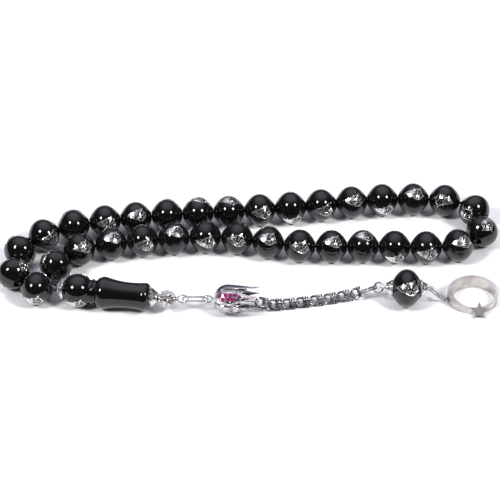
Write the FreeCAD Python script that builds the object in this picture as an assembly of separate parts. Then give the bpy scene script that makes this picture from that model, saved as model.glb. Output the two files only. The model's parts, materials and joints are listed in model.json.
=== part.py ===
import FreeCAD, Part
import math
import os

os.makedirs("parts", exist_ok=True)

# Prayer beads on a closed string, laid on a flat surface. Millimetres, +Z up, surface at Z = 0.
# +X runs along the two long rows of beads, towards the crescent at the end of the tassel.
# Every axis of the string lies level, at the height of a bead's own axis.

V = FreeCAD.Vector
UP = V(0, 0, 1)

# ---- driving dimensions ----
bead_count = 33
bead_diameter = 9.2
bead_length = 8.7
bead_bore = 2.2
bore_land = 0.15  # flat ring round each end of a bead's bore
equator_share = 0.262  # half width of the rounded equator, as a share of the bead's length
shoulder_share = 0.83  # radius where the equator meets the cone, as a share of the bead's
cone_swell_at = 0.398  # where the cone swells most, as a share of the bead's length from its middle
cone_swell_share = 0.576  # radius there, as a share of the bead's
bead_gap = 0.12  # clearance between threaded pieces
mouth_gap = 1.2  # bare cord between the last bead and the head's upper cap
cord_share = 4 / 11  # the cord's diameter, as a share of the bore
cord_diameter = bead_bore * cord_share
strand_share = 9 / 16  # each of the two strands inside the head stands this share of a cord off its axis
strand_offset = cord_diameter * strand_share
turn_share = 0.45  # share of the shorter run that an arc of the cord takes up

head_ball_diameter = bead_diameter
head_bore = bead_bore
head_neck_diameter = 6.5
head_neck_length = 1.9
neck_ring_diameter = 7.2
neck_ring_width = 0.7
body_bulge_diameter = 8.8
body_bulge_at = 8.0
body_waist_diameter = 7.2
body_waist_at = 13.8
body_end_diameter = 7.7
body_end_at = 18.2
body_length = 20.2
body_end_face = 2.7  # radius of the flat at the tail end
end_round = 0.25  # how far the tail end's rounding stands out from a plain chamfer

cap_gap = 0.15
cap_wall = 0.45
upper_cap_diameter = 5.6
lower_cap_diameter = 5.3
lower_cap_length = 2.0
hub_length = 0.6
petal_count = 7
petal_notch = 0.7

filigree_diameter = 5.0
filigree_wall = 0.6
knot_diameter = 2.6

wire = 0.5  # jump rings and eyes
fine_wire = 0.4
link_gap = 0.12
eye_ring_diameter = 3.4
link_length = 7.3
link_width = 2.1
tulip_ring_diameter = 3.0

tulip_diameter = 8.2
tulip_length = 13.0
tulip_wall = 0.7
petals = 5
petal_slit = 0.5
petal_tip_share = 0.75  # how much of the mouth's radius each notch between petals takes
petal_root_share = 0.42  # where the notches start, as a share of the tulip's length
tulip_mouth_share = 0.8
tulip_foot_share = 0.72  # the cup's radius where its foot turns up, as a share of its largest
tulip_foot_at = 0.08  # as shares of the tulip's length: the foot's turn, and the flank's middle
tulip_flank_at = 0.7
petal_turn = 40  # turns one petal towards -Y and up
ruby_rows = 2
ruby_row_count = 4  # stones in the longer row
ruby_row_gap = 1.2
ruby_diameter = 1.15
ruby_pitch = 1.35
ruby_sink = 0.2

chain_links = 8
chain_pitch = 3.88
chain_ring_diameter = 3.2
chain_wire = 0.65
bail_wire = 0.46
bail_spread = 0.62
chain_gap = 0.22  # clearance between a held wire and the bails round it
bond = 0.06  # overlap of soldered wires
chain_eye_diameter = 2.0
chain_tilt = 45  # how far each link's face leans from level towards -Y

end_ring_diameter = 3.4
end_bead_diameter = 10.5
end_bead_length = 8.4
end_bead_bore = 1.2
end_cap_diameter = 4.0
end_cap_length = 1.6
cap_cover = 0.3  # the share of a cap's length that reaches over the bead
rim_width = 0.2
end_cap_stand = 1.3  # how far the cap stands out past the bead's end
drop_link_width = 1.7
last_link_width = 1.5
crescent_loop_diameter = 2.0
pin_diameter = 0.9
pin_loop_diameter = 1.7

crescent_width = 14.0
crescent_depth = 11.3
crescent_back_wall = 0.85
crescent_front_wall = 0.65
crescent_loop_side_wall = 1.5
crescent_far_side_wall = 0.8
crescent_back_height = 4.1
crescent_front_height = 1.9
star_points = 5
star_radius = 2.5
star_inner_radius = 1.15
star_thickness = 0.8
star_lean = 47  # degrees that the star leans back from upright

# ---- routes, chosen by hand ----
route_bead_length = 8.7  # the bead that the string's route was laid out for
route_bead_diameter = 9.2
string_route = [
    (-54.9, -12.5),
    (-54.9, -5.3),
    (-50.0, 0.3),
    (-41.2, 2.4),
    (-31.0, 3.9),
    (-13.8, 5.7),
    (-3.8, 5.3),
    (13.0, 1.2),
    (31.0, 1.7),
    (49.0, 0.9),
    (58.8, 1.3),
    (64.8, 4.2),
    (67.3, 10.6),
    (65.0, 17.2),
    (58.8, 20.9),
    (47.0, 21.6),
    (37.4, 21.3),
    (20.5, 18.9),
    (3.0, 16.7),
    (-15.0, 15.4),
    (-24.0, 14.7),
    (-42.0, 12.0),
    (-51.6, 10.0),
    (-61.0, 5.0),
    (-66.8, -2.8),
    (-66.0, -11.9),
    (-60.2, -16.3),
]
head_ball_at = (-47.5, -16.3)
head_heading = -8  # degrees, from +X
chain_route = [
    (1.6, -19.8, 3.6),
    (6.9, -19.0, 1.4),
    (14.6, -17.6, 1.25),
    (22.9, -16.1, 1.25),
    (28.2, -14.8, 1.6),
]
end_ring_at = (35.9, -15.6, 4.9)
end_bead_at = (43.2, -16.2)
pin_heading = -2
drop_joint_at = (52.2, -16.4, 2.5)
crescent_at = (61.65, -15.35)
crescent_loop_at = (54.0, -16.6, 1.2)
star_foot_at = (63.1, -23.15)

nodes = {}


def heading(degrees):
    return V(math.cos(math.radians(degrees)), math.sin(math.radians(degrees)), 0)


def placed(shape, origin, along, side_hint=UP):
    """A shape drawn with +X as its axis, moved to origin with +X turned to along."""
    x = V(along).normalize()
    y = side_hint.cross(x).normalize()
    z = x.cross(y)
    shape.Placement = FreeCAD.Placement(
        FreeCAD.Matrix(x.x, y.x, z.x, origin.x, x.y, y.y, z.y, origin.y, x.z, y.z, z.z, origin.z, 0, 0, 0, 1)
    )
    return shape


def turned(edges):
    """A solid of revolution about +X from an outline in the XY plane, closed along its own edges."""
    return Part.Face(Part.Wire(edges)).revolve(V(0, 0, 0), V(1, 0, 0), 360)


def outline(points):
    """Edges through (x, radius) points; a point with three values is the middle of an arc."""
    edges = []
    start, middle = V(points[0][0], points[0][1], 0), None
    for point in points[1:] + points[:1]:
        here = V(point[0], point[1], 0)
        if len(point) == 3:
            middle = here
            continue
        if middle is not None:
            edges.append(Part.Arc(start, middle, here).toShape())
        else:
            edges.append(Part.LineSegment(start, here).toShape())
        start, middle = here, None
    return edges


def ring(centre, normal, outer_diameter, thickness):
    return Part.makeTorus((outer_diameter - thickness) / 2, thickness / 2, centre, normal)


def oval_link(start, end, normal, width, thickness):
    """A racetrack of round wire: its end arcs are centred on start and end."""
    along = (end - start).normalize()
    side = normal.cross(along).normalize() * ((width - thickness) / 2)
    reach = along * side.Length
    path = Part.Wire(
        [
            Part.LineSegment(start + side, end + side).toShape(),
            Part.Arc(end + side, end + reach, end - side).toShape(),
            Part.LineSegment(end - side, start - side).toShape(),
            Part.Arc(start - side, start - reach, start + side).toShape(),
        ]
    )
    section = Part.Wire([Part.makeCircle(thickness / 2, start + side, along)])
    return path.makePipeShell([section], True, False)


def tilted_face(along, tilt):
    """The way a flat link faces: square to its run, leaning by tilt from level towards -Y."""
    side = UP.cross(along).normalize()
    face = along.cross(side)
    return (face * math.cos(math.radians(tilt)) - side * math.sin(math.radians(tilt))).normalize()


def tilted_side(along, tilt):
    """The level of such a link's own face, across its run."""
    return tilted_face(along, tilt).cross(along).normalize()


def rounded_path(points, share):
    """Straight runs joined by tangent arcs, and the radii of those arcs."""
    edges, radii = [], []
    start = points[0]
    for before, corner, after in zip(points, points[1:], points[2:]):
        back, ahead = (before - corner), (after - corner)
        reach = share * min(back.Length, ahead.Length)
        back.normalize()
        ahead.normalize()
        half_turn = (math.pi - back.getAngle(ahead)) / 2
        radius = reach / math.tan(half_turn)
        middle = corner + (back + ahead).normalize() * (radius / math.cos(half_turn) - radius)
        edges.append(Part.LineSegment(start, corner + back * reach).toShape())
        edges.append(Part.Arc(corner + back * reach, middle, corner + ahead * reach).toShape())
        start = corner + ahead * reach
        radii.append(radius)
    edges.append(Part.LineSegment(start, points[-1]).toShape())
    return Part.Wire(edges), radii


# ---- head (imame): turned in one piece, its axis level ----
axis_height = bead_diameter / 2
head_axis = heading(head_heading)
head_side = UP.cross(head_axis)
head_centre = V(head_ball_at[0], head_ball_at[1], axis_height)


def on_head_axis(distance, offset=0.0):
    return head_centre + head_axis * distance + head_side * offset


def make_head():
    ball, bore, neck = head_ball_diameter / 2, head_bore / 2, head_neck_diameter / 2
    ball_start = -math.sqrt(ball**2 - bore**2)
    neck_start = math.sqrt(ball**2 - neck**2)
    neck_end = neck_start + head_neck_length
    ring_start = (neck_start + neck_end - neck_ring_width) / 2
    ring_end = ring_start + neck_ring_width
    ring_top = neck_ring_diameter / 2
    shoulder = neck_end + (body_bulge_at - neck_end) / 4
    end_middle = body_length - (body_length - body_end_at) / 4
    points = [
        (ball_start, bore),
        (0, ball, "arc"),
        (neck_start, neck),
        (ring_start, neck),
        ((ring_start + ring_end) / 2, ring_top, "arc"),
        (ring_end, neck),
        (neck_end, neck),
        (shoulder, (neck + body_bulge_diameter) / 3, "arc"),
        (body_bulge_at, body_bulge_diameter / 2),
        (body_waist_at, body_waist_diameter / 2, "arc"),
        (body_end_at, body_end_diameter / 2),
        (end_middle, (body_end_diameter / 2 + body_end_face) / 2 + end_round, "arc"),
        (body_length, body_end_face),
        (body_length, bore),
    ]
    return placed(turned(outline(points)), head_centre, head_axis)


nodes["imame"] = make_head()


def notched(shape, count, radius, size, at, along):
    """Scallops the rim of a flower cap with round notches."""
    for step in range(count):
        turn = math.radians(step * 360 / count)
        side = UP.cross(along).normalize()
        spoke = side * math.cos(turn) + along.cross(side) * math.sin(turn)
        notch = Part.makeCylinder(size / 2, 4 * size, at + spoke * radius - along * 2 * size, along)
        shape = shape.cut(notch)
    return shape


def make_upper_cap():
    """A flower dish over the top of the head's ball, with a hub that the strands leave by."""
    inner = head_ball_diameter / 2 + cap_gap
    outer = inner + cap_wall
    rim, bore = upper_cap_diameter / 2, head_bore / 2
    hub = bore + cap_wall

    def on_sphere(radius, height):
        return (-math.sqrt(radius**2 - height**2), height)

    hub_foot = on_sphere(outer, hub)
    points = [
        on_sphere(inner, bore),
        on_sphere(inner, rim / 2) + ("arc",),
        on_sphere(inner, rim),
        on_sphere(outer, rim),
        on_sphere(outer, (rim + hub) / 2) + ("arc",),
        hub_foot,
        (hub_foot[0] - hub_length, hub),
        (hub_foot[0] - hub_length, bore),
    ]
    dish = placed(turned(outline(points)), head_centre, head_axis)
    return notched(dish, petal_count, rim + petal_notch / 4, petal_notch, on_head_axis(-inner), head_axis)


def make_lower_cap():
    """A small flower cup on the tail end of the head."""
    start = body_length + cap_gap
    rim, bore = lower_cap_diameter / 2, head_bore / 2
    throat = bore + cap_wall
    points = [
        (start, bore),
        (start, rim - cap_wall),
        (start + cap_wall, rim),
        (start + lower_cap_length / 2, rim - cap_wall),
        (start + lower_cap_length, throat),
        (start + lower_cap_length, bore),
    ]
    cup = placed(turned(outline(points)), head_centre, head_axis)
    return notched(cup, petal_count, rim, petal_notch, on_head_axis(start), head_axis)


nodes["upper_cap"] = make_upper_cap()
nodes["lower_cap"] = make_lower_cap()

# ---- filigree ball: a hollow shell that hides the string's knot ----
filigree_radius = filigree_diameter / 2
filigree_at = body_length + cap_gap + lower_cap_length + link_gap + filigree_radius
filigree_centre = on_head_axis(filigree_at)


def make_filigree():
    """A turned hollow shell, open at both ends for the strands and the eye's stem."""
    outer, inner, bore = filigree_radius, filigree_radius - filigree_wall, head_bore / 2
    outer_end, inner_end = math.sqrt(outer**2 - bore**2), math.sqrt(inner**2 - bore**2)
    points = [
        (-outer_end, bore),
        (0, outer, "arc"),
        (outer_end, bore),
        (inner_end, bore),
        (0, inner, "arc"),
        (-inner_end, bore),
    ]
    return placed(turned(outline(points)), filigree_centre, head_axis)


nodes["filigree_ball"] = make_filigree()

# ---- string: out of the head, round the whole loop and back in, in one length ----
route_scale = max(bead_length / route_bead_length, bead_diameter / route_bead_diameter)
cap_mouth = head_ball_diameter / 2 + cap_gap + cap_wall + hub_length
exit_reach = cap_mouth + cord_diameter
route_anchor = on_head_axis(-exit_reach)
loop_points = [route_anchor + (V(x, y, axis_height) - route_anchor) * route_scale for x, y in string_route]
cord_points = (
    [on_head_axis(filigree_at, strand_offset), on_head_axis(-exit_reach, strand_offset)]
    + loop_points
    + [on_head_axis(-exit_reach, -strand_offset), on_head_axis(filigree_at, -strand_offset)]
)
cord_path, cord_radii = rounded_path(cord_points, turn_share)
cord_start = Part.makeCircle(cord_diameter / 2, cord_points[0], cord_points[1] - cord_points[0])
cord_section = Part.Wire([cord_start])
cord_tube = cord_path.makePipeShell([cord_section], True, False)
print("cord length", round(cord_path.Length, 1), "arc radii", [round(r, 1) for r in cord_radii])
straight_volume = math.pi * cord_diameter**2 / 4 * cord_path.Length
print("tube volume over section times length", round(cord_tube.Volume / straight_volume, 4))
nodes["stringing_cord"] = cord_tube.fuse(Part.makeSphere(knot_diameter / 2, filigree_centre))

# ---- loop beads: threaded back from the head, each one as close as its neighbour allows ----
path_step = 0.02
path_samples = cord_path.discretize(Distance=path_step)
samples_per_bead = int(bead_length / path_step)


def bead_seat(sample):
    """Centre and axis of a bead whose middle is at this sample of the cord's path."""
    half = samples_per_bead // 2
    start, middle, end = path_samples[sample - half], path_samples[sample], path_samples[sample + half]
    return ((start + end) * 0.5 + middle) * 0.5, (end - start).normalize()


def faces_clear(seat, next_seat):
    """The smallest gap between the end faces of two neighbours on the string."""
    land = bead_bore / 2 + bore_land
    gaps = []
    for (centre, axis), (other, other_axis), way in ((seat, next_seat, 1), (next_seat, seat, -1)):
        face = other - other_axis * way * (bead_length / 2)
        side = UP.cross(other_axis)
        for offset in (-land, land):
            gaps.append((face + side * offset - centre).dot(axis) * way - bead_length / 2)
    return min(gaps)


def last_bead_sample():
    """The place of the last bead on the string, where its face meets the upper cap's hub."""
    sample = len(path_samples) - int((filigree_at + exit_reach) / path_step) - samples_per_bead // 2
    mouth = on_head_axis(-cap_mouth)
    while True:
        centre, axis = bead_seat(sample)
        if (mouth - centre).dot(axis) - bead_length / 2 >= mouth_gap:
            return sample
        sample -= 1


bead_seats = {}
sample = last_bead_sample()
bead_seats[bead_count] = bead_seat(sample)
for number in range(bead_count - 1, 0, -1):
    sample -= samples_per_bead
    while faces_clear(bead_seat(sample), bead_seats[number + 1]) < bead_gap:
        sample -= 1
    bead_seats[number] = bead_seat(sample)


def make_bead(diameter, length, bore):
    """A rounded bicone: a round equator, swelling cones and a flat land at each end of the bore."""
    radius, half, land = diameter / 2, length / 2, bore / 2 + bore_land
    bend, shoulder = equator_share * length, shoulder_share * radius
    swell_at, swell = cone_swell_at * length, cone_swell_share * radius
    points = [
        (-half, bore / 2),
        (-half, land),
        (-swell_at, swell, "arc"),
        (-bend, shoulder),
        (0, radius, "arc"),
        (bend, shoulder),
        (swell_at, swell, "arc"),
        (half, land),
        (half, bore / 2),
    ]
    return turned(outline(points))


for number, (centre, axis) in bead_seats.items():
    nodes[f"bead_{number:02d}"] = placed(make_bead(bead_diameter, bead_length, bead_bore), centre, axis)

# ---- tassel: eye on the string's knot, then a flat link to the tulip ----
across = V(0, 1, 0)
forward = V(1, 0, 0)
eye_reach = filigree_radius + link_gap + eye_ring_diameter / 2
eye_centre = V(filigree_centre.x + eye_reach, filigree_centre.y, axis_height)
stem = Part.makeCylinder(wire / 2, eye_reach - (eye_ring_diameter - wire) / 2, filigree_centre, forward)
nodes["eye_ring"] = ring(eye_centre, across, eye_ring_diameter, wire).fuse(stem)

link_half = (link_length - link_width) / 2
link_start = eye_centre + forward * (link_width - wire) / 2
link_end = link_start + forward * 2 * link_half
nodes["connector_link"] = oval_link(link_start, link_end, UP, link_width, wire)
tulip_ring_centre = link_end + forward * (link_width - wire) / 2

# ---- tulip: a cup of five pointed petals on a wire eye, with small stones along one petal ----
tulip_base = tulip_ring_centre + forward * (tulip_ring_diameter / 2 - wire / 2)
tulip_radius = tulip_diameter / 2
mouth_radius = tulip_radius * tulip_mouth_share
widest_at = tulip_length / 3


def make_tulip():
    """A hollow turned cup, cut by wedges between its petals."""
    bore = fine_wire + cap_gap
    near, far = tulip_length * tulip_foot_at, tulip_length * tulip_flank_at
    flank = (tulip_radius + mouth_radius + tulip_wall / 2) / 2
    points = [
        (wire, bore),
        (wire + near, tulip_radius * tulip_foot_share, "arc"),
        (widest_at, tulip_radius),
        (far, flank, "arc"),
        (tulip_length, mouth_radius),
        (tulip_length, mouth_radius - tulip_wall / 2),
        (far, flank - tulip_wall, "arc"),
        (widest_at, tulip_radius - tulip_wall),
        (wire + near + tulip_wall, tulip_radius * tulip_foot_share - tulip_wall, "arc"),
        (wire + tulip_wall, bore),
    ]
    cup = turned(outline(points))
    root, reach = tulip_length * petal_root_share, tulip_radius * petal_tip_share
    corners = [
        V(root, -petal_slit / 2, 0),
        V(root, petal_slit / 2, 0),
        V(tulip_length + wire, reach, 0),
        V(tulip_length + wire, -reach, 0),
        V(root, -petal_slit / 2, 0),
    ]
    for petal in range(petals):
        wedge = Part.Face(Part.makePolygon(corners)).extrude(V(0, 0, tulip_diameter))
        wedge.rotate(V(0, 0, 0), V(1, 0, 0), petal_turn + (petal + 0.5) * 360 / petals)
        cup = cup.cut(wedge)
    return placed(cup, tulip_base, forward)


# the wire eye: a ring behind the tulip, a stem through its base and a loop that carries the chain
chain_eye_centre = V(chain_route[0][0], chain_route[0][1], chain_route[0][2])
eye_foot = tulip_ring_centre + forward * (tulip_ring_diameter - wire) / 2
stem_end = chain_eye_centre - (chain_eye_centre - eye_foot).normalize() * (chain_eye_diameter - fine_wire) / 2
tulip_stem = Part.makeCylinder(fine_wire / 2, (stem_end - eye_foot).Length, eye_foot, stem_end - eye_foot)
nodes["tulip_eye"] = (
    ring(tulip_ring_centre, across, tulip_ring_diameter, wire)
    .fuse(tulip_stem)
    .fuse(ring(chain_eye_centre, tilted_side(forward, chain_tilt), chain_eye_diameter, fine_wire))
)


def ruby_seats():
    """Two rows of stones down the middle of the petal that faces up and towards -Y."""
    seats = []
    for row in range(ruby_rows):
        count = ruby_row_count - row % 2
        for step in range(count):
            along = widest_at + (step - (count - 1) / 2) * ruby_pitch
            bend = math.degrees(ruby_row_gap / 2 / tulip_radius) * (2 * row - 1)
            seats.append((along, petal_turn + bend))
    return seats


def make_rubies():
    """Small round stones set in the petal, each one a dome that stands out of the metal."""
    stones = []
    for along, roll in ruby_seats():
        stone = Part.makeSphere(ruby_diameter / 2, V(along, 0, tulip_radius - ruby_sink - tulip_wall / 4))
        stone.rotate(V(0, 0, 0), V(1, 0, 0), roll)
        stones.append(stone)
    return placed(Part.makeCompound(stones), tulip_base, forward)


nodes["ruby_stones"] = make_rubies()
nodes["tulip_cup"] = make_tulip().cut(nodes["ruby_stones"])

# ---- chain: round links, each with a pair of bails that hold the next link ----
chain_path, chain_radii = rounded_path([V(*point) for point in chain_route + [end_ring_at]], turn_share)
chain_samples = chain_path.discretize(Distance=path_step)
ring_reach = (chain_ring_diameter - chain_wire) / 2
bail_reach = chain_wire / 2 + bail_wire / 2 + chain_gap  # from a held wire's middle to the bail's wire


def nearest_at(samples, distance):
    return samples[min(int(distance / path_step), len(samples) - 1)]


chain_centres = [nearest_at(chain_samples, ring_reach + chain_pitch * step) for step in range(chain_links)]
end_ring_reach = (end_ring_diameter - wire) / 2
pin_axis = heading(pin_heading)
end_bead_centre = V(end_bead_at[0], end_bead_at[1], end_bead_diameter / 2)
pin_half = end_bead_length / 2 + cap_gap + end_cap_stand
loop_reach = (pin_loop_diameter - fine_wire) / 2
inner_loop_centre = end_bead_centre - pin_axis * (pin_half + loop_reach + fine_wire / 2)
outer_loop_centre = end_bead_centre + pin_axis * (pin_half + loop_reach + fine_wire / 2)
end_ring_run = (inner_loop_centre - V(*end_ring_at)).normalize()
end_ring_centre = inner_loop_centre - end_ring_run * end_ring_reach
chain_stops = [chain_eye_centre] + chain_centres + [end_ring_centre]
chain_runs = [(after - before).normalize() for before, after in zip(chain_stops, chain_stops[2:])]
chain_runs.append(end_ring_run)


def make_chain_link(index):
    """One round link and the two bails, side by side, that go round the next link's wire."""
    here, ahead = chain_centres[index], chain_stops[index + 2]
    run, next_run = chain_runs[index], chain_runs[index + 1]
    next_reach = end_ring_reach if index == chain_links - 1 else ring_reach
    own_wire, held_wire = here + run * ring_reach, ahead - next_run * next_reach
    bail_run = (held_wire - own_wire).normalize()
    side = tilted_side(bail_run, chain_tilt)
    link = ring(here, tilted_face(run, chain_tilt), chain_ring_diameter, chain_wire)
    bail_start = own_wire + bail_run * (chain_gap + bond)
    for way in (-1, 1):
        shift = side * way * bail_spread / 2
        bail = oval_link(bail_start + shift, held_wire + shift, side, 2 * bail_reach + bail_wire, bail_wire)
        link = link.fuse(bail)
    return link


for index in range(chain_links):
    nodes[f"chain_link_{index + 1}"] = make_chain_link(index)

# ---- end ring, and the end bead between two flower caps on a looped pin ----
end_ring_face = tilted_face(end_ring_run, chain_tilt)
nodes["chain_end_ring"] = ring(end_ring_centre, end_ring_face, end_ring_diameter, wire)


def make_end_cap(way):
    """A shallow flower dish against the end bead, open towards it."""
    seat = end_bead_length / 2 + cap_gap
    rim, bore = end_cap_diameter / 2, pin_diameter / 2 + link_gap / 4
    points = [
        (seat, bore),
        (seat, bore + cap_wall),
        (seat - end_cap_length * cap_cover, rim),
        (seat - end_cap_length * cap_cover + rim_width, rim + rim_width),
        (seat + end_cap_stand, bore + 2 * cap_wall),
        (seat + end_cap_stand, bore),
    ]
    dish = placed(turned(outline(points)), end_bead_centre, pin_axis * way)
    notch_at = end_bead_centre + pin_axis * way * seat
    return notched(dish, petal_count, rim + petal_notch / 4, petal_notch, notch_at, pin_axis)


nodes["end_cap_inner"] = make_end_cap(-1)
nodes["end_cap_outer"] = make_end_cap(1)
end_bead = make_bead(end_bead_diameter, end_bead_length, end_bead_bore)
nodes["end_bead"] = placed(end_bead, end_bead_centre, pin_axis)

pin_length = 2 * pin_half + fine_wire
pin = Part.makeCylinder(pin_diameter / 2, pin_length, end_bead_centre - pin_axis * pin_length / 2, pin_axis)
pin = pin.fuse(ring(inner_loop_centre, tilted_side(pin_axis, chain_tilt), pin_loop_diameter, fine_wire))
nodes["end_pin"] = pin.fuse(ring(outer_loop_centre, UP.cross(pin_axis), pin_loop_diameter, fine_wire))

# ---- two small links down to the crescent ----
drop_joint = V(*drop_joint_at)
crescent_loop = V(*crescent_loop_at)
drop_run = (drop_joint - outer_loop_centre).normalize()
drop_reach = (drop_link_width - fine_wire) / 2
nodes["drop_link_upper"] = oval_link(
    outer_loop_centre + drop_run * (drop_reach + link_gap / 2),
    drop_joint - drop_run * drop_reach,
    tilted_face(drop_run, 0),
    drop_link_width,
    fine_wire,
)
last_run = (crescent_loop - drop_joint).normalize()
last_face = UP.cross(last_run)
nodes["drop_link_lower"] = oval_link(drop_joint, crescent_loop, last_face, last_link_width, fine_wire)

# ---- crescent: an oval band, tall at the back, low at the front, thickest by its loop ----
crescent_centre = V(crescent_at[0], crescent_at[1], 0)


def oval_prism(width, depth, centre, height):
    """An upright prism on an ellipse whose long axis is the larger of width and depth."""
    if width >= depth:
        curve = Part.Ellipse(V(0, 0, 0), width / 2, depth / 2)
    else:
        curve = Part.Ellipse(V(0, depth / 2, 0), V(width / 2, 0, 0), V(0, 0, 0))
    prism = Part.Face(Part.Wire([curve.toShape()])).extrude(V(0, 0, height))
    prism.translate(centre)
    return prism


def make_crescent():
    outer = oval_prism(crescent_width, crescent_depth, crescent_centre, crescent_back_height)
    sideways = (crescent_loop_side_wall - crescent_far_side_wall) / 2
    forwards = (crescent_back_wall - crescent_front_wall) / 2
    inner_centre = crescent_centre + V(sideways, -forwards, -wire)
    inner_width = crescent_width - crescent_loop_side_wall - crescent_far_side_wall
    inner_depth = crescent_depth - crescent_back_wall - crescent_front_wall
    inner = oval_prism(inner_width, inner_depth, inner_centre, crescent_back_height + 2 * wire)
    back, front = crescent_depth / 2, -crescent_depth / 2
    slope = Part.makePolygon(
        [
            V(-crescent_width, back, crescent_back_height),
            V(-crescent_width, front, crescent_front_height),
            V(-crescent_width, front, crescent_back_height + wire),
            V(-crescent_width, back, crescent_back_height + wire),
            V(-crescent_width, back, crescent_back_height),
        ]
    )
    above = Part.Face(slope).extrude(V(2 * crescent_width, 0, 0))
    above.translate(crescent_centre)
    band = outer.cut(inner).cut(above)
    towards_band = V(last_run.x, last_run.y, 0).normalize()
    loop_centre = crescent_loop + towards_band * (crescent_loop_diameter - fine_wire) / 2
    loop = ring(loop_centre, UP, crescent_loop_diameter, fine_wire)
    return band.fuse(loop.cut(inner))


nodes["crescent_ring"] = make_crescent()


def make_star():
    """A five-pointed plate that leans back against the front of the crescent."""
    lean = math.radians(star_lean)
    rise, face = V(0, math.sin(lean), math.cos(lean)), V(0, -math.cos(lean), math.sin(lean))
    foot = V(star_foot_at[0], star_foot_at[1], star_thickness * math.sin(lean))
    middle = foot + rise * star_radius * math.cos(math.pi / star_points)
    corners = []
    for step in range(2 * star_points + 1):
        reach = star_inner_radius if step % 2 else star_radius
        turn = math.pi * step / star_points
        corners.append(middle + V(1, 0, 0) * reach * math.sin(turn) + rise * reach * math.cos(turn))
    return Part.Face(Part.makePolygon(corners)).extrude(face * -star_thickness)


nodes["star"] = make_star()

# ---- the frame's origin: under the middle of the whole object, on the surface ----
whole = Part.makeCompound(list(nodes.values())).optimalBoundingBox(False, False)
origin_shift = V(-whole.Center.x, -whole.Center.y, 0)
print("box", whole, "origin shift", origin_shift)
for name, shape in nodes.items():
    shape.translate(origin_shift)
    shape.exportStep(f"parts/{name}.step")
print(len(nodes), "nodes")
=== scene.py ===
import json
import math
import bmesh
import bpy
from mathutils import Matrix, Vector


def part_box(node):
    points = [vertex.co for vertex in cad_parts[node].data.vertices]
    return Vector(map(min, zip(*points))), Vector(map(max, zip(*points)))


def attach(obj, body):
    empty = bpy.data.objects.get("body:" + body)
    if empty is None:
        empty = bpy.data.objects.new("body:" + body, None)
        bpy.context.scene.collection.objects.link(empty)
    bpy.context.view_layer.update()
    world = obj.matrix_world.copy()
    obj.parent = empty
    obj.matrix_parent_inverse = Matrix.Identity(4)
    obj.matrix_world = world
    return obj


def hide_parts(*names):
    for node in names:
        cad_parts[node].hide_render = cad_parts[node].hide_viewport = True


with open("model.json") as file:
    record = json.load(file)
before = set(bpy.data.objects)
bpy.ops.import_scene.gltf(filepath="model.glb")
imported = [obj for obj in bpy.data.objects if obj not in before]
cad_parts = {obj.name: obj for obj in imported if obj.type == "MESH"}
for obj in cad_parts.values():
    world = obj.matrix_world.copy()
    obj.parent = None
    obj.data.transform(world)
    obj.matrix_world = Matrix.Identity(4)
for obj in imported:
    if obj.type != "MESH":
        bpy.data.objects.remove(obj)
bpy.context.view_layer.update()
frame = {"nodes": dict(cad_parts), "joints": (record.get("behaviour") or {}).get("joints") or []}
MM = 0.001
UP = Vector((0, 0, 1))


# ---- Studio ----
# A pale table under a tent that is bright only overhead, with two softboxes in front and above, and
# the camera over the near edge. The softboxes make the two small bright spots on every polished bead.
camera_elevation = 43
camera_distance = 0.668
camera_half_angle = 6
camera_target = Vector((0, -1.1, 4.6)) * MM
floor_tone = (0.93, 0.935, 0.945, 1)
tent_bright_way = (0, 0.45, 0.89)
tent_steps = [(0.0, 0.03), (0.5, 0.05), (0.72, 0.22), (0.88, 0.85), (1.0, 1.15)]

table_mesh = bmesh.new()
bmesh.ops.create_grid(table_mesh, x_segments=4, y_segments=4, size=2.5)
table_data = bpy.data.meshes.new("table_top")
table_mesh.to_mesh(table_data)
table_mesh.free()
table_top = bpy.data.objects.new("table_top", table_data)
bpy.context.scene.collection.objects.link(table_top)
table_finish = bpy.data.materials.new("pale_table")
table_finish.use_nodes = True
table_shader = table_finish.node_tree.nodes["Principled BSDF"]
table_shader.inputs["Base Color"].default_value = floor_tone
table_shader.inputs["Roughness"].default_value = 0.7
table_shader.inputs["Specular IOR Level"].default_value = 0.2
table_data.materials.append(table_finish)


def light_tent(steps):
    """World light that is pale overhead and a little behind, and dark all round."""
    world = bpy.data.worlds.new("light_tent")
    world.use_nodes = True
    tree = world.node_tree
    direction = tree.nodes.new("ShaderNodeTexCoord")
    facing = tree.nodes.new("ShaderNodeVectorMath")
    facing.operation = "DOT_PRODUCT"
    facing.inputs[1].default_value = tent_bright_way
    shade = tree.nodes.new("ShaderNodeValToRGB")
    tree.links.new(direction.outputs["Generated"], facing.inputs[0])
    tree.links.new(facing.outputs["Value"], shade.inputs["Fac"])
    for index, (height, tone) in enumerate(steps):
        stop = shade.color_ramp.elements[index] if index < 2 else shade.color_ramp.elements.new(height)
        stop.position = height
        stop.color = (tone * 0.98, tone * 0.98, tone * 1.14, 1)
    tree.links.new(shade.outputs["Color"], tree.nodes["Background"].inputs["Color"])
    tree.nodes["Background"].inputs["Strength"].default_value = 1.0
    return world


def softbox(name, azimuth, elevation, distance, size, power):
    """A square lamp that looks at the middle of the beads."""
    lamp = bpy.data.lights.new(name, "AREA")
    lamp.shape, lamp.size, lamp.energy = "SQUARE", size, power
    stand = bpy.data.objects.new(name, lamp)
    turn, rise = math.radians(azimuth), math.radians(elevation)
    way = Vector((math.sin(turn) * math.cos(rise), -math.cos(turn) * math.cos(rise), math.sin(rise)))
    stand.location = camera_target + way * distance
    stand.rotation_mode = "QUATERNION"
    stand.rotation_quaternion = way.to_track_quat("Z", "Y")
    bpy.context.scene.collection.objects.link(stand)


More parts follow.
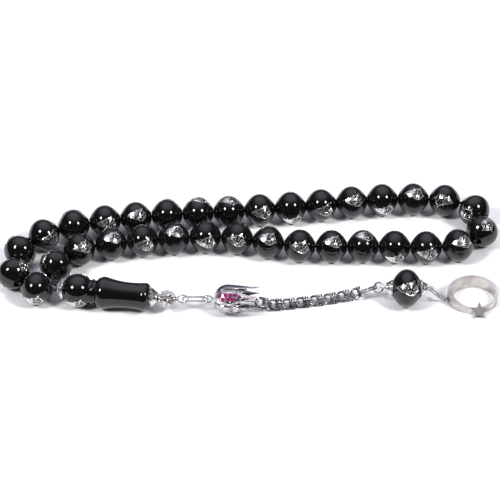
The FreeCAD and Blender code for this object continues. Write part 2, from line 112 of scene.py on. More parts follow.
bpy.context.scene.world = light_tent(tent_steps)
softbox_rise, softbox_distance, softbox_size, softbox_power = 48, 1.4, 0.3, 13
softbox("softbox_left", -62, softbox_rise, softbox_distance, softbox_size, softbox_power)
softbox("softbox_right", 62, softbox_rise, softbox_distance, softbox_size, softbox_power)
bpy.context.scene.view_settings.view_transform = "Standard"

camera_data = bpy.data.cameras.new("camera")
camera_data.sensor_width = 36
camera_data.lens = 18 / math.tan(math.radians(camera_half_angle))
camera = bpy.data.objects.new("camera", camera_data)
camera_rise = math.radians(camera_elevation)
camera_way = Vector((0, -math.cos(camera_rise), math.sin(camera_rise)))
camera.location = camera_target + camera_way * camera_distance
camera.rotation_mode = "QUATERNION"
camera.rotation_quaternion = camera_way.to_track_quat("Z", "Y")
camera_data.clip_start, camera_data.clip_end = 0.05, 20
bpy.context.scene.collection.objects.link(camera)
bpy.context.scene.camera = camera


# ---- Stringing cord ----
# One length of thin twisted black cord. It is knotted inside the filigree ball, runs out through the
# head, round all the loop beads, and back beside itself to the same knot.
cord_diameter = 0.8 * MM
cord_height = 4.6
cord_shift = Vector((-0.0058, -1.0889, 0))
head_ball_at = Vector((-47.5, -16.3, cord_height))
head_heading = math.radians(-8)
head_axis = Vector((math.cos(head_heading), math.sin(head_heading), 0))
strand_side = UP.cross(head_axis)
knot_reach, exit_reach, strand_offset = 25.97, 6.75, 0.45
cord_route = [
    (-54.9, -12.5), (-54.9, -5.3), (-50.0, 0.3), (-41.2, 2.4), (-31.0, 3.9), (-13.8, 5.7), (-3.8, 5.3),
    (13.0, 1.2), (31.0, 1.7), (49.0, 0.9), (58.8, 1.3), (64.8, 4.2), (67.3, 10.6), (65.0, 17.2),
    (58.8, 20.9), (47.0, 21.6), (37.4, 21.3), (20.5, 18.9), (3.0, 16.7), (-15.0, 15.4), (-24.0, 14.7),
    (-42.0, 12.0), (-51.6, 10.0), (-61.0, 5.0), (-66.8, -2.8), (-66.0, -11.9), (-60.2, -16.3),
]


def in_head(reach, side):
    return (head_ball_at + head_axis * reach + strand_side * side + cord_shift) * MM


cord_points = [in_head(knot_reach, strand_offset), in_head(-exit_reach, strand_offset)]
cord_points += [(Vector((x, y, cord_height)) + cord_shift) * MM for x, y in cord_route]
cord_points += [in_head(-exit_reach, -strand_offset), in_head(knot_reach, -strand_offset)]
cord_curve = bpy.data.curves.new("black_string", "CURVE")
cord_curve.dimensions = "3D"
cord_line = cord_curve.splines.new("NURBS")
cord_line.points.add(len(cord_points) - 1)
for point, place in zip(cord_line.points, cord_points):
    point.co = (*place, 1)
cord_line.order_u = 3
cord_line.use_endpoint_u = True
cord_curve.bevel_depth = cord_diameter / 2
cord_curve.bevel_resolution = 3
cord_curve.resolution_u = 12
black_string = bpy.data.objects.new("black_string", cord_curve)
bpy.context.scene.collection.objects.link(black_string)


def twisted_cord(name):
    """Fine plies that run slantwise round the cord, dull black and paler on the raised ply crests."""
    material = bpy.data.materials.new(name)
    material.use_nodes = True
    tree = material.node_tree
    shader = tree.nodes["Principled BSDF"]
    place = tree.nodes.new("ShaderNodeTexCoord")
    turn = tree.nodes.new("ShaderNodeMapping")
    turn.inputs["Rotation"].default_value = (0.6, 0.5, 0.7)
    ply = tree.nodes.new("ShaderNodeTexWave")
    ply.inputs["Scale"].default_value = 1400
    ply.inputs["Distortion"].default_value = 1.5
    tone = tree.nodes.new("ShaderNodeMix")
    tone.data_type = "RGBA"
    tone.inputs["A"].default_value = (0.006, 0.006, 0.007, 1)
    tone.inputs["B"].default_value = (0.035, 0.034, 0.036, 1)
    relief = tree.nodes.new("ShaderNodeBump")
    relief.inputs["Strength"].default_value = 0.6
    relief.inputs["Distance"].default_value = 0.00008
    tree.links.new(place.outputs["Object"], turn.inputs["Vector"])
    tree.links.new(turn.outputs["Vector"], ply.inputs["Vector"])
    tree.links.new(ply.outputs["Fac"], tone.inputs["Factor"])
    tree.links.new(tone.outputs["Result"], shader.inputs["Base Color"])
    tree.links.new(ply.outputs["Fac"], relief.inputs["Height"])
    tree.links.new(relief.outputs["Normal"], shader.inputs["Normal"])
    shader.inputs["Roughness"].default_value = 0.75
    return material


string_finish = twisted_cord("twisted_black_cord")
cord_curve.materials.append(string_finish)


def piece_from(bm, name, material, body, smooth=True):
    """Closes a mesh into an object that rides on a body and takes its finish from a slot."""
    bmesh.ops.remove_doubles(bm, verts=bm.verts, dist=1e-6)
    bmesh.ops.recalc_face_normals(bm, faces=bm.faces)
    for face in bm.faces:
        face.smooth = smooth
    mesh = bpy.data.meshes.new(name)
    bm.to_mesh(mesh)
    bm.free()
    mesh.materials.append(material)
    piece = bpy.data.objects.new(name, mesh)
    bpy.context.scene.collection.objects.link(piece)
    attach(piece, body)
    return piece


knot_radius = 1.3
knot_mesh = bmesh.new()
bmesh.ops.create_icosphere(
    knot_mesh, subdivisions=3, radius=knot_radius * MM, matrix=Matrix.Translation(in_head(knot_reach, 0))
)
knot = piece_from(knot_mesh, "string_knot", string_finish, "string")
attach(black_string, "string")
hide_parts("stringing_cord")


# ---- Loop beads ----
# Thirty-three turned beads of polished black stone, rounded bicones drilled along their axis and
# threaded close together on the string.
stone_black = (0.0022, 0.0021, 0.0021, 1)
stone_cloud = (0.006, 0.0056, 0.0056, 1)


def polished_stone(name):
    """Deep black stone with faint clouding, a hand polish and a few hairline rubs."""
    material = bpy.data.materials.new(name)
    material.use_nodes = True
    tree = material.node_tree
    shader = tree.nodes["Principled BSDF"]
    place = tree.nodes.new("ShaderNodeTexCoord")
    cloud = tree.nodes.new("ShaderNodeTexNoise")
    cloud.inputs["Scale"].default_value = 260
    cloud.inputs["Detail"].default_value = 5
    tone = tree.nodes.new("ShaderNodeMix")
    tone.data_type = "RGBA"
    tone.inputs["A"].default_value = stone_black
    tone.inputs["B"].default_value = stone_cloud
    rub = tree.nodes.new("ShaderNodeTexNoise")
    rub.inputs["Scale"].default_value = 900
    rub.inputs["Detail"].default_value = 8
    polish = tree.nodes.new("ShaderNodeMapRange")
    polish.inputs["From Min"].default_value = 0.35
    polish.inputs["From Max"].default_value = 0.8
    polish.inputs["To Min"].default_value = 0.035
    polish.inputs["To Max"].default_value = 0.16
    relief = tree.nodes.new("ShaderNodeBump")
    relief.inputs["Strength"].default_value = 0.12
    relief.inputs["Distance"].default_value = 0.00004
    tree.links.new(place.outputs["Object"], cloud.inputs["Vector"])
    tree.links.new(place.outputs["Object"], rub.inputs["Vector"])
    tree.links.new(cloud.outputs["Fac"], tone.inputs["Factor"])
    tree.links.new(tone.outputs["Result"], shader.inputs["Base Color"])
    tree.links.new(rub.outputs["Fac"], polish.inputs["Value"])
    tree.links.new(polish.outputs["Result"], shader.inputs["Roughness"])
    tree.links.new(cloud.outputs["Fac"], relief.inputs["Height"])
    tree.links.new(relief.outputs["Normal"], shader.inputs["Normal"])
    shader.inputs["Coat Weight"].default_value = 0.15
    shader.inputs["Coat Roughness"].default_value = 0.03
    return material


def give_finish(node, material):
    """A better finish on a piece that keeps its own shape."""
    for place in frame["nodes"][node].material_slots:
        place.material = material


black_stone = polished_stone("black_stone_polish")
bead_numbers = range(1, 34)
for number in bead_numbers:
    give_finish(f"bead_{number:02d}", black_stone)


# ---- Silver inlays of the loop beads ----
# Two small pierced silver ornaments pinned into opposite sides of each bead: a plain pointed leaf at
# one end, and at the other a fan of open loops about a little scroll. They stand just proud.
inlay_proud, inlay_buried = 0.10, 0.12
bead_radius, bead_half, bead_bore_land = 4.6, 4.35, 1.25
equator_share, shoulder_share, swell_at_share, swell_share = 0.524, 0.83, 0.796, 0.576
bead_roll = {
    1: -40, 2: 47, 3: 30, 4: 70, 5: 26, 6: 74, 7: 60, 8: 37, 9: 57, 10: 34, 11: 8, 12: 104, 13: 78,
    14: 40, 15: 20, 16: 72, 17: 45, 18: 32, 19: 98, 20: 47, 21: 76, 22: 112, 23: 64, 24: 4, 25: -12,
    26: 122, 27: 43, 28: 62, 29: -43, 30: 70, 31: -58, 32: -40, 33: 104,
}
turned_about = (15, 17)


def aged_silver_effect():
    """Silver greyed in random patches: colour, roughness and fine relief from one grain."""
    group = bpy.data.node_groups.new("aged_silver", "ShaderNodeTree")
    face = group.interface
    face.new_socket(name="Bright", in_out="INPUT", socket_type="NodeSocketColor")
    face.new_socket(name="Grey", in_out="INPUT", socket_type="NodeSocketColor")
    face.new_socket(name="Grain", in_out="INPUT", socket_type="NodeSocketFloat")
    face.new_socket(name="Age", in_out="INPUT", socket_type="NodeSocketFloat")
    face.new_socket(name="Colour", in_out="OUTPUT", socket_type="NodeSocketColor")
    face.new_socket(name="Roughness", in_out="OUTPUT", socket_type="NodeSocketFloat")
    face.new_socket(name="Relief", in_out="OUTPUT", socket_type="NodeSocketFloat")
    taken, given = group.nodes.new("NodeGroupInput"), group.nodes.new("NodeGroupOutput")
    place = group.nodes.new("ShaderNodeTexCoord")
    patch = group.nodes.new("ShaderNodeTexNoise")
    patch.inputs["Detail"].default_value = 6
    edge = group.nodes.new("ShaderNodeMapRange")
    edge.inputs["From Min"].default_value = 0.38
    edge.inputs["From Max"].default_value = 0.68
    aged = group.nodes.new("ShaderNodeMath")
    aged.operation = "MULTIPLY"
    tone = group.nodes.new("ShaderNodeMix")
    tone.data_type = "RGBA"
    pit = group.nodes.new("ShaderNodeTexVoronoi")
    finer = group.nodes.new("ShaderNodeMath")
    finer.operation = "MULTIPLY"
    finer.inputs[1].default_value = 2.5
    dull = group.nodes.new("ShaderNodeMapRange")
    dull.inputs["To Min"].default_value = 0.12
    dull.inputs["To Max"].default_value = 0.5
    group.links.new(place.outputs["Object"], patch.inputs["Vector"])
    group.links.new(place.outputs["Object"], pit.inputs["Vector"])
    group.links.new(taken.outputs["Grain"], patch.inputs["Scale"])
    group.links.new(taken.outputs["Grain"], finer.inputs[0])
    group.links.new(finer.outputs[0], pit.inputs["Scale"])
    group.links.new(patch.outputs["Fac"], edge.inputs["Value"])
    group.links.new(edge.outputs["Result"], aged.inputs[0])
    group.links.new(taken.outputs["Age"], aged.inputs[1])
    group.links.new(aged.outputs[0], tone.inputs["Factor"])
    group.links.new(taken.outputs["Bright"], tone.inputs["A"])
    group.links.new(taken.outputs["Grey"], tone.inputs["B"])
    group.links.new(aged.outputs[0], dull.inputs["Value"])
    group.links.new(tone.outputs["Result"], given.inputs["Colour"])
    group.links.new(dull.outputs["Result"], given.inputs["Roughness"])
    group.links.new(pit.outputs["Distance"], given.inputs["Relief"])
    return group


aged_silver = aged_silver_effect()


def silver(name, bright, grey, grain, age, relief_depth):
    """A silver finish made from the shared ageing."""
    material = bpy.data.materials.new(name)
    material.use_nodes = True
    tree = material.node_tree
    shader = tree.nodes["Principled BSDF"]
    effect = tree.nodes.new("ShaderNodeGroup")
    effect.node_tree = aged_silver
    effect.inputs["Bright"].default_value = bright
    effect.inputs["Grey"].default_value = grey
    effect.inputs["Grain"].default_value = grain
    effect.inputs["Age"].default_value = age
    relief = tree.nodes.new("ShaderNodeBump")
    relief.inputs["Strength"].default_value = 0.5
    relief.inputs["Distance"].default_value = relief_depth
    tree.links.new(effect.outputs["Colour"], shader.inputs["Base Color"])
    tree.links.new(effect.outputs["Roughness"], shader.inputs["Roughness"])
    tree.links.new(effect.outputs["Relief"], relief.inputs["Height"])
    tree.links.new(relief.outputs["Normal"], shader.inputs["Normal"])
    shader.inputs["Metallic"].default_value = 1
    return material


inlay_silver = silver("inlay_silver", (0.86, 0.83, 0.82, 1), (0.3, 0.28, 0.28, 1), 1500, 0.8, 0.00004)


def flat_leaf(bm, root, tip, width, fullest=0.5, cut_end=0.0):
    """A flat leaf from root to tip, widest at its fullest part; cut_end leaves the root open."""
    made = bmesh.ops.create_grid(bm, x_segments=6, y_segments=2, size=1)["verts"]
    run = Vector(tip) - Vector(root)
    across = Vector((-run.y, run.x)).normalized()
    for vert in made:
        along, side = (vert.co.x + 1) / 2, vert.co.y
        share = along / fullest if along < fullest else (1 - along) / (1 - fullest)
        spread = max(math.sin(min(share, 1) * math.pi / 2), cut_end * (along < fullest))
        spot = Vector(root) + run * along + across * side * spread * width / 2
        vert.co = (spot.x, spot.y, 0)


def open_loop(bm, root, tip, width, wire, sides=10):
    """An open drop of flat wire, pointed at its root."""
    face = bmesh.ops.create_circle(bm, cap_ends=True, segments=sides, radius=1)["verts"][0].link_faces[0]
    run = Vector(tip) - Vector(root)
    across = Vector((-run.y, run.x)).normalized()
    for vert in face.verts:
        along, side = (vert.co.x + 1) / 2, vert.co.y
        spot = Vector(root) + run * along + across * side * (0.35 + 0.65 * along) * width / 2
        vert.co = (spot.x, spot.y, 0)
    bmesh.ops.inset_individual(bm, faces=[face], thickness=wire)
    bmesh.ops.delete(bm, geom=[face], context="FACES_ONLY")


def flat_band(bm, start, middle, end, width):
    """A narrow flat strip that curves from start past middle to end."""
    made = bmesh.ops.create_grid(bm, x_segments=6, y_segments=1, size=1)["verts"]
    start, middle, end = Vector(start), Vector(middle), Vector(end)
    for vert in made:
        share, side = (vert.co.x + 1) / 2, vert.co.y
        spot = start * (1 - share) ** 2 + middle * 2 * share * (1 - share) + end * share**2
        way = ((middle - start) * (1 - share) + (end - middle) * share).normalized()
        spot += Vector((-way.y, way.x)) * side * width / 2
        vert.co = (spot.x, spot.y, 0)


def flat_ornament():
    """The pierced ornament drawn flat, in millimetres: the leaf points to -X, the fan to +X."""
    bm = bmesh.new()
    flat_leaf(bm, (0.1, 0.25), (-2.8, 0.55), 2.3, fullest=0.12, cut_end=0.85)
    scroll = Vector((0.55, -0.75))
    open_loop(bm, scroll - Vector((1.0, 0)), scroll + Vector((0.95, 0)), 1.95, 0.24)
    flat_leaf(bm, scroll - Vector((0.35, 0.1)), scroll + Vector((0.35, 0.1)), 0.5)
    for turn, start, length in ((102, 1.0, 2.3), (72, 1.05, 2.6), (42, 1.1, 2.6), (12, 1.15, 2.2)):
        way = Vector((math.cos(math.radians(turn)), math.sin(math.radians(turn))))
        open_loop(bm, scroll + way * start, scroll + way * length, 0.78, 0.15)
    flat_leaf(bm, (1.25, 1.5), (1.85, 2.45), 0.55)
    flat_leaf(bm, (2.25, 0.0), (3.0, -0.35), 0.5)
    flat_leaf(bm, (-0.1, 1.25), (0.1, 1.95), 0.5)
    flat_band(bm, (0.0, 1.45), (1.0, 1.95), (1.5, 1.75), 0.22)
    flat_band(bm, (1.5, 1.75), (2.7, 1.1), (2.5, -0.2), 0.22)
    flat_band(bm, (1.2, -1.45), (2.1, -1.1), (2.5, -0.2), 0.22)
    raised = bmesh.ops.extrude_face_region(bm, geom=bm.faces[:], use_keep_orig=True)["geom"]
    bmesh.ops.translate(bm, verts=[v for v in raised if isinstance(v, bmesh.types.BMVert)], vec=(0, 0, 1))
    tops = [f for f in raised if isinstance(f, bmesh.types.BMFace)]
    bmesh.ops.inset_region(bm, faces=tops, thickness=0.045, depth=0.35, use_even_offset=True)
    mesh = bpy.data.meshes.new("flat_ornament")
    bm.to_mesh(mesh)
    bm.free()
    return mesh


ornament_pattern = flat_ornament()


def bead_surface(along, radius, half, land):
    """The bead's own radius at a distance along its axis: a round equator, then a swelling cone."""
    reach, shoulder = equator_share * half, shoulder_share * radius
    swell_at, swell = swell_at_share * half, swell_share * radius
    curve = (reach**2 + (radius - shoulder) ** 2) / (2 * (radius - shoulder))
    here = abs(along)
    if here < reach:
        return radius - curve + math.sqrt(curve**2 - here**2)
    last, swell_last = (here - reach) / (half - reach), (swell_at - reach) / (half - reach)
    bow = (swell - shoulder) / (swell_at - reach) - (land - shoulder) / (half - reach)
    slope = (land - shoulder) / (half - reach)
    return shoulder + (here - reach) * (slope + bow * (1 - last) / (1 - swell_last))


def lay_ornaments(bm, centre, axis, rolls, surface, scale=1.0, about=False):
    """Wraps the ornament round a turned surface at each roll, counted from the top towards the front."""
    ahead = axis if axis.x >= 0 else -axis
    side = ahead.cross(UP)
    for roll in rolls:
        before = set(bm.verts)
        bm.from_mesh(ornament_pattern)
        for vert in [v for v in bm.verts if v not in before]:
            along, round_it, height = vert.co.x * scale, vert.co.y * scale, vert.co.z
            if about:
                along, round_it = -along, -round_it
            reach = surface(along)
            turn = math.radians(roll) - round_it / max(reach, surface(0) * 0.8)
            proud = inlay_proud * height if height > 0 else -inlay_buried
            outward = UP * math.cos(turn) + side * math.sin(turn)
            vert.co = centre + (ahead * along + outward * (reach + proud)) * MM


def loop_bead_surface(along):
    return bead_surface(along, bead_radius, bead_half, bead_bore_land)


axes = {joint["child"]: Vector(joint["axis"]) for joint in frame["joints"]}


def middle_of(node):
    low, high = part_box(node)
    return (Vector(low) + Vector(high)) / 2


for number in bead_numbers:
    bead = f"bead_{number:02d}"
    inlays = bmesh.new()
    first = bead_roll[number]
    rolls = (first, first + 180)
    lay_ornaments(inlays, middle_of(bead), axes[bead], rolls, loop_bead_surface, 1.0, number in turned_about)
    piece_from(inlays, f"inlays_{number:02d}", inlay_silver, bead, smooth=False)


# ---- Head ----
# The long head bead, turned from the same black stone in one piece: a ball, a ringed neck and a waisted
# body. Its ball has the same two ornaments as the loop beads.
give_finish("imame", black_stone)
head_ball_radius = 4.6
head_middle = (head_ball_at + cord_shift) * MM


def head_ball_surface(along):
    return math.sqrt(head_ball_radius**2 - along**2)


head_inlays = bmesh.new()
lay_ornaments(head_inlays, head_middle, head_axis, (112, -68), head_ball_surface)
piece_from(head_inlays, "inlays_head", inlay_silver, "head", smooth=False)


# ---- Flower caps of the head ----
# Thin cast silver caps at both ends of the head. Open wire loops and grains are soldered round them to
# make the petals, so the dark stone shows through.
cap_silver = silver("cap_silver", (0.86, 0.85, 0.84, 1), (0.2, 0.19, 0.19, 1), 1200, 0.85, 0.00004)
for node in ("upper_cap", "lower_cap"):
    give_finish(node, cap_silver)


def new_part(bm, before):
    return [vert for vert in bm.verts if vert not in before]


def wire_ring(bm, centre, normal, radius, wire, around=16, section=6):
    """A closed ring of round wire, in millimetres."""
    before = set(bm.verts)
    stand = Matrix.Translation((radius, 0, 0)) @ Matrix.Rotation(math.radians(90), 4, "X")
    circle = bmesh.ops.create_circle(bm, segments=section, radius=wire / 2, matrix=stand)["verts"]
    edges = list({edge for vert in circle for edge in vert.link_edges})
    bmesh.ops.spin(
        bm, geom=circle + edges, cent=(0, 0, 0), axis=(0, 0, 1), angle=math.tau, steps=around, use_merge=True
    )
    turn = Matrix.Translation(centre) @ Vector(normal).to_track_quat("Z", "Y").to_matrix().to_4x4()
    bmesh.ops.transform(bm, matrix=turn, verts=new_part(bm, before))


def grain(bm, centre, radius):
    """A small melted silver grain."""
    bmesh.ops.create_icosphere(bm, subdivisions=1, radius=radius, matrix=Matrix.Translation(centre))


def in_metres(bm):
    bmesh.ops.scale(bm, vec=(MM, MM, MM), verts=bm.verts)


def flower_loops(bm, middle, axis, at, radius, loop, wire, count, lean, start=0.0):
    """Open wire loops all round an axis, each with a grain in it, leaning from the axis by lean."""
    side = UP.cross(axis)
    for step in range(count):
        turn = math.tau * (step + start) / count
        outward = UP * math.cos(turn) + side * math.sin(turn)
        face = axis * math.cos(math.radians(lean)) + outward * math.sin(math.radians(lean))
        place = middle + axis * at + outward * radius
        wire_ring(bm, place, face, loop, wire, around=12, section=5)
        grain(bm, place, wire * 0.8)


head_centre = head_ball_at + cord_shift
upper_petals = bmesh.new()
flower_loops(upper_petals, head_centre, -head_axis, 4.75, 2.35, 0.62, 0.3, 9, 28)
flower_loops(upper_petals, head_centre, -head_axis, 5.3, 1.5, 0.32, 0.24, 7, 15, 0.5)
in_metres(upper_petals)
piece_from(upper_petals, "upper_cap_petals", cap_silver, "string")
lower_petals = bmesh.new()
flower_loops(lower_petals, head_centre, head_axis, 20.85, 2.25, 0.6, 0.28, 9, 50)
flower_loops(lower_petals, head_centre, head_axis, 21.7, 1.5, 0.3, 0.24, 7, 40, 0.5)
in_metres(lower_petals)
piece_from(lower_petals, "lower_cap_petals", cap_silver, "string")


# ---- Filigree ball ----
# A hollow ball of soldered round wire, all scrolls with grains between them, that hides the string's
# knot. It is open at both ends and turns freely on the strands.
filigree_radius, scroll_wire = 2.5, 0.26
filigree_centre = middle_of("filigree_ball") / MM
filigree = bmesh.new()
frame_of_ball = bmesh.new()
bmesh.ops.create_icosphere(frame_of_ball, subdivisions=1, radius=1)
scroll_ways = [vert.co.normalized() for vert in frame_of_ball.verts]
grain_ways = [face.calc_center_median().normalized() for face in frame_of_ball.faces]
frame_of_ball.free()
for way in scroll_ways:
    for radius in (1.02, 0.58):
        reach = math.sqrt((filigree_radius - scroll_wire / 2) ** 2 - radius**2)
        wire_ring(filigree, filigree_centre + way * reach, way, radius, scroll_wire, around=16, section=5)
    grain(filigree, filigree_centre + way * (filigree_radius - 0.22), 0.2)
for way in grain_ways:
    grain(filigree, filigree_centre + way * (filigree_radius - 0.2), 0.2)
for way in (head_axis, -head_axis):
    wire_ring(filigree, filigree_centre + way * 2.1, way, 1.25, 0.32)
in_metres(filigree)
filigree_silver = silver("filigree_silver", (0.93, 0.9, 0.89, 1), (0.45, 0.4, 0.4, 1), 1400, 0.7, 0.00003)
filigree_ball = piece_from(filigree, "filigree_scrolls", filigree_silver, "filigree")
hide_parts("filigree_ball")


# ---- Eye ring and connector link ----
# A wire eye that stands on the knot's stem, and the flat oval link from it to the tulip, both plain
# polished silver wire with soldered ends.
wire_silver = silver("wire_silver", (0.68, 0.67, 0.68, 1), (0.22, 0.21, 0.22, 1), 700, 0.8, 0.00002)
for node in ("eye_ring", "connector_link"):
    give_finish(node, wire_silver)
eye_centre = middle_of("eye_ring") / MM
eye_high = Vector(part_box("eye_ring")[1]) / MM
winding_start, winding_pitch = 2.95, 0.32
eye_winding = bmesh.new()
for step in range(3):
    place = (eye_high.x - winding_start + step * -winding_pitch, eye_centre.y, cord_height)
    wire_ring(eye_winding, place, (1, 0, 0), 0.5, 0.3, section=5)
in_metres(eye_winding)
piece_from(eye_winding, "eye_stem_winding", wire_silver, "string")


# ---- Tulip ----
# A cup of five cast silver petals with pointed tips, greyed in random patches, their silver painted darker
# as painted shade. Each petal has a beaded edge and a rib, and five narrower ones stand inside the gaps. The
# tips reach past the plain cup.
tulip_low, tulip_high = (Vector(corner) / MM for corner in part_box("tulip_cup"))
tulip_start, tulip_reach = tulip_low.x, tulip_high.x - tulip_low.x
tulip_line = Vector((0, (tulip_low.y + tulip_high.y) / 2, cord_height))
tulip_widest_at, tulip_radius = 3.83, 4.1
petal_overreach = 2.1
petal_reach = tulip_reach + petal_overreach
petals, petal_full, petal_shoulder = 5, 34, 4.4
jewelled_petal_turn, petal_tip_share = 40, 0.05
# The tulip's silver is painted darker as painted shade on the petals; the petal facing up and forward gets a
# pale copy of the same silver, painted light.
shaded_tulip_silver = silver("shaded_tulip_silver", (0.6, 0.57, 0.6, 1), (0.1, 0.09, 0.1, 1), 700, 0.85, 0.00003)
lit_petal_silver = silver(
    "lit_petal_silver", (0.93, 0.86, 0.88, 1), (0.5, 0.42, 0.46, 1), 1100, 0.6, 0.00004
)


def tulip_surface(along):
    """The cup's radius at a distance from its foot: round foot, then a long flank that draws in."""
    if along < tulip_widest_at:
        share = (tulip_widest_at - along) / (tulip_widest_at + 0.12)
        return tulip_radius * math.sqrt(1 - share**2)
    share = (along - tulip_widest_at) / (petal_reach - tulip_widest_at)
    return tulip_radius - 1.1 * share**1.3 + 0.5 * max(0, (share - 0.6) / 0.4) ** 2


def tulip_spot(along, turn, proud=0.0):
    angle = math.radians(turn)
    outward = UP * math.cos(angle) - Vector((0, 1, 0)) * math.sin(angle)
    return Vector((tulip_start + along, 0, 0)) + tulip_line + outward * (tulip_surface(along) + proud)


def petal_spread(along, full, shoulder, tip):
    """Half the petal's angle: full as far as its shoulder, then drawn in to a narrow blunt tip."""
    if along <= shoulder:
        return full
    share = (along - shoulder) / (tip - shoulder)
    return full * max(petal_tip_share, 1 - share) ** 1.05


def add_petal(bm, turn, full, shoulder, tip, proud, wall, start=0.15):
    """One curved petal with a raised rib, a closed skin whose wall thins towards the tip."""
    before = set(bm.verts)
    made = bmesh.ops.create_grid(bm, x_segments=18, y_segments=10, size=1)["verts"]
    inside = list({face for vert in made for face in vert.link_faces})
    raised = bmesh.ops.extrude_face_region(bm, geom=inside, use_keep_orig=True)["geom"]
    bmesh.ops.translate(bm, verts=[v for v in raised if isinstance(v, bmesh.types.BMVert)], vec=(0, 0, 1))
    for vert in new_part(bm, before):
        share, side, outer = (vert.co.x + 1) / 2, vert.co.y, vert.co.z
        along = start + (tip - start) * share
        rib = 0.16 * max(0, 1 - abs(side) * 4) - 0.1 * side**2
        inward = wall * (1 - outer) * (1 - 0.5 * share)
        spread = side * petal_spread(along, full, shoulder, tip)
        vert.co = tulip_spot(along, turn + spread, proud + rib - inward)
    faces = list({face for vert in new_part(bm, before) for face in vert.link_faces})
    bmesh.ops.recalc_face_normals(bm, faces=faces)


def bead_edges(bm, turn, full, shoulder, tip, proud, count, size):
    """A row of grains down both edges of a petal."""
    for step in range(count):
        along = 1.0 + (tip - 1.4) * step / (count - 1)
        for side in (-0.9, 0.9):
            place = tulip_spot(along, turn + side * petal_spread(along, full, shoulder, tip), proud)
            grain(bm, place, size)


tulip_petals, jewelled_petal = bmesh.new(), bmesh.new()
for petal in range(petals):
    turn = jewelled_petal_turn + petal * 360 / petals
    target = jewelled_petal if petal == 0 else tulip_petals
    add_petal(target, turn, petal_full, petal_shoulder, petal_reach, -0.12, 0.3)
    bead_edges(target, turn, petal_full, petal_shoulder, petal_reach - 0.2, -0.06, 26, 0.15)
    add_petal(tulip_petals, turn + 180 / petals, 24, 4.6, petal_reach - 3.4, -0.55, 0.3, start=0.6)
in_metres(tulip_petals)
petals_piece = piece_from(tulip_petals, "tulip_petals", shaded_tulip_silver, "tulip")
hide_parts("tulip_cup")
give_finish("tulip_eye", wire_silver)


# ---- Jewelled petal and its stones ----
# The petal that faces up and forward has a raised leaf-shaped field, with round red stones pressed into
# drilled seats in two rows and held by small silver grains.
stone_row_middle, stone_pitch, stone_row_gap = 4.33, 1.35, 1.2
field_before = set(jewelled_petal.verts)
field = bmesh.ops.create_grid(jewelled_petal, x_segments=14, y_segments=6, size=1)["verts"]
for vert in field:
    share, side = (vert.co.x + 1) / 2, vert.co.y
    along = 1.2 + 6.9 * share
    spread = 27 * math.sin(math.pi * share**0.85) * side
    vert.co = tulip_spot(along, jewelled_petal_turn + spread, 0.02 + 0.12 * abs(side) ** 4)
field_faces = list({face for vert in new_part(jewelled_petal, field_before) for face in vert.link_faces})
bmesh.ops.solidify(jewelled_petal, geom=field_faces, thickness=0.14)
for row in range(2):
    count = 4 - row
    turn = jewelled_petal_turn + math.degrees(stone_row_gap / 2 / tulip_radius) * (2 * row - 1)
    for step in range(count + 1):
        along = stone_row_middle - 0.5 + (step - count / 2) * stone_pitch
        for side in (-8, 8):
            grain(jewelled_petal, tulip_spot(along, turn + side, 0.12), 0.15)
in_metres(jewelled_petal)
# The jewelled petal wears the pale copy of the tulip's silver: painted light for the petal facing up and
# forward.
piece_from(jewelled_petal, "jewelled_petal", lit_petal_silver, "tulip")


def red_stone_finish(name):
    """Deep magenta-red glassy stone with small cut faces that catch the light."""
    material = bpy.data.materials.new(name)
    material.use_nodes = True
    tree = material.node_tree
    shader = tree.nodes["Principled BSDF"]
    place = tree.nodes.new("ShaderNodeTexCoord")
    cut = tree.nodes.new("ShaderNodeTexVoronoi")
    cut.inputs["Scale"].default_value = 2200
    tone = tree.nodes.new("ShaderNodeMix")
    tone.data_type = "RGBA"
    tone.inputs["A"].default_value = (0.36, 0.02, 0.15, 1)
    tone.inputs["B"].default_value = (0.14, 0.005, 0.07, 1)
    relief = tree.nodes.new("ShaderNodeBump")
    relief.inputs["Strength"].default_value = 0.8
    relief.inputs["Distance"].default_value = 0.0001
    tree.links.new(place.outputs["Object"], cut.inputs["Vector"])
    tree.links.new(cut.outputs["Distance"], tone.inputs["Factor"])
    tree.links.new(tone.outputs["Result"], shader.inputs["Base Color"])
    tree.links.new(cut.outputs["Distance"], relief.inputs["Height"])
    tree.links.new(relief.outputs["Normal"], shader.inputs["Normal"])
    shader.inputs["Roughness"].default_value = 0.08
    shader.inputs["Coat Weight"].default_value = 0.6
    return material


cut_stones = bmesh.new()
for row in range(2):
    count = 4 - row
    turn = jewelled_petal_turn + math.degrees(stone_row_gap / 2 / tulip_radius) * (2 * row - 1)
    for step in range(count):
        along = stone_row_middle - 0.5 + (step - (count - 1) / 2) * stone_pitch
        place, outside = tulip_spot(along, turn, -0.1), tulip_spot(along, turn, 1)
        stand = (outside - place).to_track_quat("Z", "Y").to_matrix().to_4x4()
        for low_size, high_size, depth, rise in ((0.56, 0.64, 0.3, 0.0), (0.64, 0.36, 0.26, 0.28)):
            seat = Matrix.Translation(place) @ stand @ Matrix.Translation((0, 0, rise))
            bmesh.ops.create_cone(
                cut_stones, cap_ends=True, segments=8, radius1=low_size, radius2=high_size,
                depth=depth, matrix=seat,
            )
in_metres(cut_stones)
red_stones = piece_from(
    cut_stones, "cut_red_stones", red_stone_finish("red_stone_cut"), "tulip", smooth=False
)
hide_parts("ruby_stones")
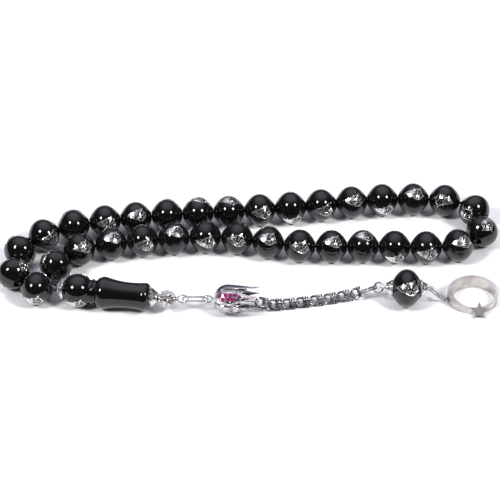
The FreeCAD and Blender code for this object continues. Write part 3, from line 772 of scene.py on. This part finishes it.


# ---- Chain ----
# Eight round links of thick oxidised silver wire, each with a soldered pair of thinner bails that go
# round the next link's wire. The silver is mixed in random patches of dim grey and near black: partly oxide,
# partly painted shade for the dark edges and gaps between the wires.
# Dim silver with near-black patches: partly real oxide, partly painted shade for the dark edges and gaps of
# the wires.
oxidised_silver = silver(
    "oxidised_silver", (0.36, 0.34, 0.35, 1), (0.015, 0.014, 0.016, 1), 620, 1.0, 0.00005
)
chain_ring_reach, cheek_side, cheek_wire = 1.275, 1.2, 0.58
bends = {joint["child"]: joint for joint in frame["joints"]}
chain_bodies = [f"chain_{step + 1}" for step in range(8)]
for body, ahead_body in zip(chain_bodies, chain_bodies[1:] + ["end_ring"]):
    give_finish(f"chain_link_{body[-1]}", oxidised_silver)
    held, ahead_held = Vector(bends[body]["pos_m"]) / MM, Vector(bends[ahead_body]["pos_m"]) / MM
    run, level = (ahead_held - held).normalized(), Vector(bends[body]["axis"])
    middle = held + run * chain_ring_reach
    last = body == chain_bodies[-1]
    cheeks = bmesh.new()
    for way in (-1, 1):
        for reach in ((0.85, 1.5) if last else (0.85, 1.5, 2.15)):
            spot = middle + run * reach + level * way * cheek_side
            wire_ring(cheeks, spot, run, 0.3, cheek_wire * 0.8, around=10, section=6)
            grain(cheeks, spot + level * way * 0.32, 0.2)
    in_metres(cheeks)
    piece_from(cheeks, f"chain_cheeks_{body[-1]}", oxidised_silver, body)


# ---- End ring, end bead, pin and caps ----
# A bright round ring joins the chain to the looped pin of the last black bead, which is held between
# two shallow flower caps.
for node in ("chain_end_ring", "end_pin"):
    give_finish(node, wire_silver)
for node in ("end_cap_inner", "end_cap_outer"):
    give_finish(node, cap_silver)
give_finish("end_bead", black_stone)
pin_axis = axes["end_bead"]
end_centre = middle_of("end_bead")


def end_bead_surface(along):
    return bead_surface(along, 5.25, 4.2, 0.75)


end_inlays = bmesh.new()
lay_ornaments(end_inlays, end_centre, pin_axis, (52, 232), end_bead_surface, 1.12)
piece_from(end_inlays, "inlays_end_bead", inlay_silver, "end_bead", smooth=False)
end_petals = bmesh.new()
for way in (-1, 1):
    flower_loops(end_petals, end_centre / MM, pin_axis * way, 4.15, 2.05, 0.58, 0.28, 9, 25)
    flower_loops(end_petals, end_centre / MM, pin_axis * way, 4.75, 1.2, 0.3, 0.24, 7, 15, 0.5)
in_metres(end_petals)
piece_from(end_petals, "end_cap_petals", cap_silver, "end_pin")


# ---- Drop links, crescent and star ----
# Two small wire links carry the cast silver crescent, a band tall and thick at the back and low in front,
# polished all over, with a brushed five-pointed star soldered against its front.
for node in ("drop_link_upper", "drop_link_lower"):
    give_finish(node, wire_silver)
crescent_silver = silver("crescent_silver", (0.68, 0.64, 0.61, 1), (0.32, 0.29, 0.28, 1), 170, 0.8, 0.00001)
star_silver = silver("star_silver", (0.42, 0.4, 0.42, 1), (0.2, 0.19, 0.2, 1), 420, 0.8, 0.00004)
star_silver.node_tree.nodes["Principled BSDF"].inputs["Metallic"].default_value = 0.4
give_finish("crescent_ring", crescent_silver)
give_finish("star", star_silver)
